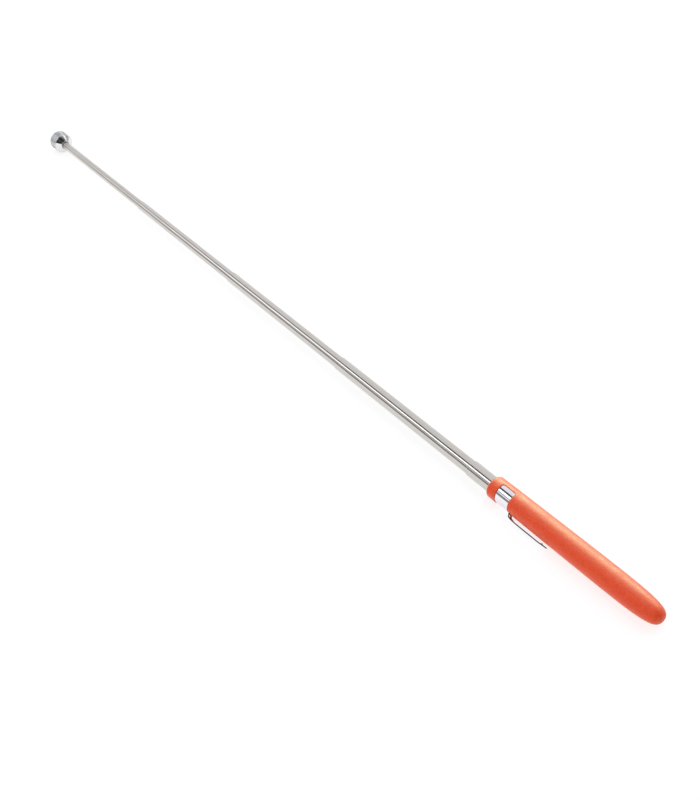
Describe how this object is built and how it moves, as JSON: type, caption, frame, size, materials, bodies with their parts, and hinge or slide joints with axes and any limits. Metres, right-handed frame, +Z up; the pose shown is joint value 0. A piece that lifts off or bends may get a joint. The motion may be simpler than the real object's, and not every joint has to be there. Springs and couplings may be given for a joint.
{
  "type": "telescoping magnetic pick-up tool",
  "caption": "Pen-style magnetic pick-up tool: telescoping steel tubes, a knurled magnet head and a soft barrel grip with a pocket clip.",
  "frame": {"origin": "centre of the magnet's flat face, on the tool's axis", "axes": "+X along the tool's axis from the magnet head to the handle's butt; +Z up when the tool lies on a table on its head and clip; -X out of the magnet's face"},
  "size_m": [0.6323, 0.0157, 0.015],
  "materials": {
    "orange_vinyl": "soft matte vinyl with a fine skin grain",
    "plated_tube": "bright nickel-plated drawn tube",
    "bright_clip": "bright-plated spring steel stamping",
    "satin_head": "satin nickel-plated turned steel with a diamond knurl",
    "magnet_nickel": "satin nickel-plated magnet",
    "dark_collar": "dark-plated turned steel",
    "black_washer": "black rubber",
    "turned_brass": "plain turned brass",
    "inner_plastic": "black moulded plastic",
    "screw_steel": "plain steel"
  },
  "bodies": {
    "handle": {"grip_sleeve": "orange_vinyl", "handle_core": "inner_plastic", "clip_band": "bright_clip", "outer_tube": "plated_tube", "outer_tube_plug": "turned_brass"},
    "clip": {"clip_arm": "bright_clip"},
    "second_sleeve": {"second_friction_sleeve": "turned_brass"},
    "second_section": {"second_tube": "plated_tube", "second_base_plug": "turned_brass"},
    "third_sleeve": {"third_friction_sleeve": "turned_brass"},
    "third_section": {"third_tube": "plated_tube", "third_base_plug": "turned_brass"},
    "fourth_sleeve": {"fourth_friction_sleeve": "turned_brass"},
    "fourth_section": {"fourth_tube": "plated_tube", "fourth_base_plug": "turned_brass"},
    "tip_sleeve": {"tip_friction_sleeve": "turned_brass"},
    "tip_section": {"tip_tube": "plated_tube", "tip_base_plug": "turned_brass", "tip_plug": "turned_brass", "neck_washer": "black_washer", "neck_collar": "dark_collar", "head_housing": "satin_head", "backing_plate": "screw_steel", "magnet": "magnet_nickel", "magnet_gap_ring": "inner_plastic", "head_screw": "screw_steel"}
  },
  "joints": [
    {"name": "second_section_slide", "type": "slide", "parent": "handle", "child": "second_sleeve", "axis": [1, 0, 0], "range_m": [0, 0.1189]},
    {"name": "second_section_spin", "type": "hinge", "parent": "second_sleeve", "child": "second_section", "pos_m": [0.4938, 0, 0], "axis": [1, 0, 0], "continuous": true},
    {"name": "third_section_slide", "type": "slide", "parent": "second_section", "child": "third_sleeve", "axis": [1, 0, 0], "range_m": [0, 0.1189]},
    {"name": "third_section_spin", "type": "hinge", "parent": "third_sleeve", "child": "third_section", "pos_m": [0.3728, 0, 0], "axis": [1, 0, 0], "continuous": true},
    {"name": "fourth_section_slide", "type": "slide", "parent": "third_section", "child": "fourth_sleeve", "axis": [1, 0, 0], "range_m": [0, 0.1189]},
    {"name": "fourth_section_spin", "type": "hinge", "parent": "fourth_sleeve", "child": "fourth_section", "pos_m": [0.2518, 0, 0], "axis": [1, 0, 0], "continuous": true},
    {"name": "tip_section_slide", "type": "slide", "parent": "fourth_section", "child": "tip_sleeve", "axis": [1, 0, 0], "range_m": [0, 0.1139]},
    {"name": "tip_section_spin", "type": "hinge", "parent": "tip_sleeve", "child": "tip_section", "pos_m": [0.1308, 0, 0], "axis": [1, 0, 0], "continuous": true},
    {"name": "clip_flex", "type": "hinge", "parent": "handle", "child": "clip", "pos_m": [0.5288, -0.0042, -0.00366], "axis": [0, 0.6571, -0.7538], "range_deg": [0, 5], "stiffness_Nm_per_rad": 2}
  ]
}
